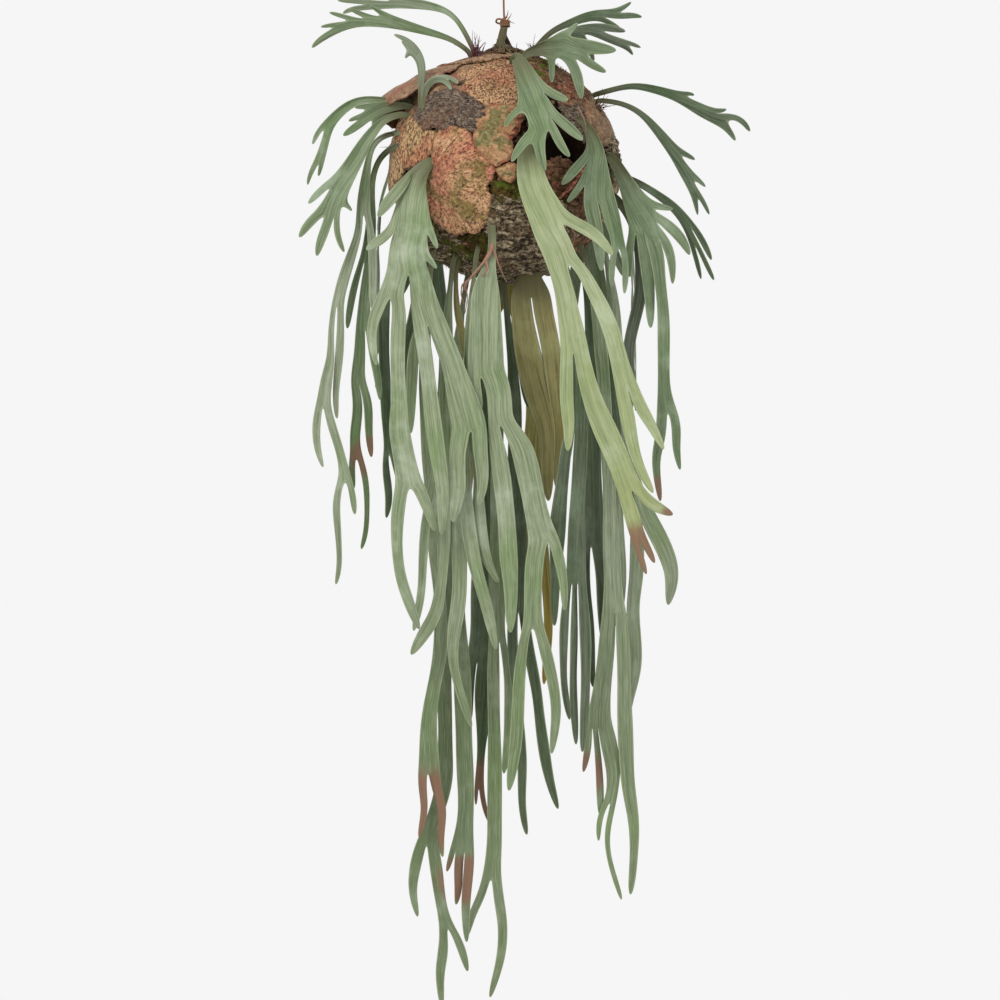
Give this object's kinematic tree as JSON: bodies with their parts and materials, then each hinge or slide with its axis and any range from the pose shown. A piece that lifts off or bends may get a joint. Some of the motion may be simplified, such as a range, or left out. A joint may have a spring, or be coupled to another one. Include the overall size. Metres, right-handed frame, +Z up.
{
  "type": "hanging staghorn fern in a netting basket",
  "caption": "Hanging staghorn fern: a moss ball in gathered netting, old shield fronds round it, long forked green fronds hanging down, on a cord with a ring.",
  "frame": {"origin": "hanging point, the top of the ring that the cord ends in", "axes": "+Z up, the plant's best side faces -Y, +X to the right seen from the front"},
  "size_m": [0.5477, 0.3172, 1.2662],
  "materials": {
    "moss_core": "matte",
    "netting": "matte",
    "frond_sage": "satin",
    "frond_deep_green": "satin",
    "frond_yellow_green": "satin",
    "frond_olive": "satin",
    "shield_brown": "matte",
    "shield_tan": "matte",
    "shield_pink": "matte",
    "bark": "matte",
    "moss": "matte",
    "roots": "matte",
    "cord": "matte",
    "ring_wire": "satin"
  },
  "bodies": {
    "root": {"moss_core": "moss_core", "netting_basket": "netting", "frond_top_left_high": "frond_sage", "frond_top_left_low": "frond_sage", "frond_crown_small": "frond_sage", "frond_left_arch": "frond_sage", "frond_left_broad_small": "frond_sage", "frond_left_palmate": "frond_sage", "frond_left_long_front": "frond_sage", "frond_left_long_back": "frond_deep_green", "frond_left_inner_back": "frond_deep_green", "frond_front_left_large": "frond_sage", "frond_front_centre": "frond_sage", "frond_front_right_over": "frond_sage", "frond_front_right_long": "frond_yellow_green", "frond_right_fan_inner": "frond_sage", "frond_right_fan_outer": "frond_sage", "frond_right_hanging_thin": "frond_deep_green", "frond_right_arch_high": "frond_deep_green", "frond_right_arch_low": "frond_deep_green", "frond_right_low_arch": "frond_deep_green", "frond_top_right_high": "frond_deep_green", "frond_top_right_mid": "frond_deep_green", "frond_top_right_broad": "frond_sage", "frond_olive_pair": "frond_olive", "frond_olive_left": "frond_olive", "frond_low_centre_right": "frond_deep_green", "frond_low_right_dark": "frond_deep_green", "frond_low_right_pair": "frond_sage", "frond_low_right_long": "frond_sage", "frond_low_centre_brown": "frond_deep_green", "frond_low_left_fork": "frond_sage", "frond_low_left_slim": "frond_sage", "frond_low_left_long": "frond_sage", "frond_low_left_deep": "frond_sage", "frond_low_middle_long": "frond_sage", "frond_low_middle_dark": "frond_deep_green", "frond_back_left": "frond_deep_green", "frond_back_centre": "frond_olive", "frond_back_right": "frond_sage", "frond_back_crown": "frond_sage", "frond_right_side": "frond_sage", "frond_left_side": "frond_deep_green", "rim_sheet": "shield_brown", "shield_top_tan": "shield_tan", "shield_left_tan": "shield_tan", "shield_front_pink": "shield_pink", "shield_right_red": "shield_pink", "shield_right_brown": "shield_brown", "shield_back_left": "shield_tan", "shield_back_right": "shield_pink", "bark_upper_left": "bark", "bark_lower_front": "bark", "moss_lower_left": "moss", "moss_top_back": "moss", "rootlets": "roots", "hanging_cord": "cord", "cord_knot_neck": "cord", "cord_knot_top": "cord", "hanging_ring": "ring_wire"}
  },
  "joints": []
}
